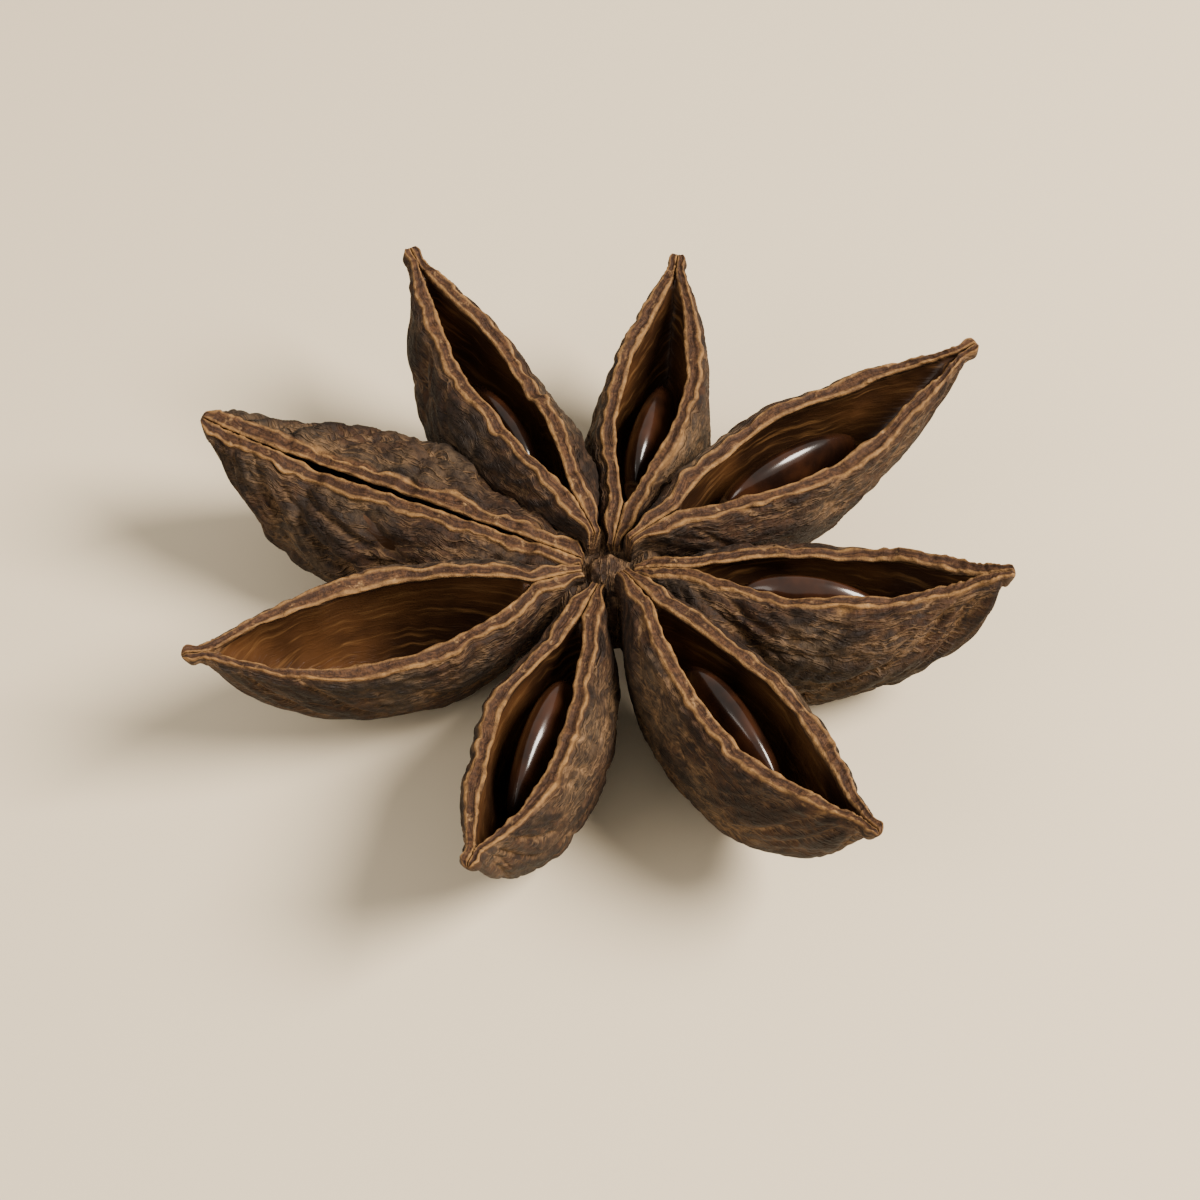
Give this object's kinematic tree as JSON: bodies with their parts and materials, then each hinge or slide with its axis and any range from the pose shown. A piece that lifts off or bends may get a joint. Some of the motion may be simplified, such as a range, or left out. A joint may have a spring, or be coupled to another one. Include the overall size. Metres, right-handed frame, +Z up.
{
  "type": "star anise pod",
  "caption": "Dried star anise: a small woody star of boat-shaped carpels round a hub, most of them split open along the top with a shiny oval seed inside.",
  "frame": {"origin": "on the surface that the pod lies on, under the middle of its outline", "axes": "+Z up, out of the open side; -Y towards the viewer"},
  "size_m": [0.027, 0.0258, 0.0073],
  "materials": {
    "dried_shell": "dry, wrinkled, matt fruit wall with paler, rubbed lips",
    "seed_coat": "hard, smooth, glossy seed coat"
  },
  "bodies": {
    "root": {"pod": "dried_shell", "seed_2": "seed_coat", "seed_3": "seed_coat", "seed_4": "seed_coat", "seed_5": "seed_coat", "seed_6": "seed_coat", "seed_7": "seed_coat"}
  },
  "joints": []
}
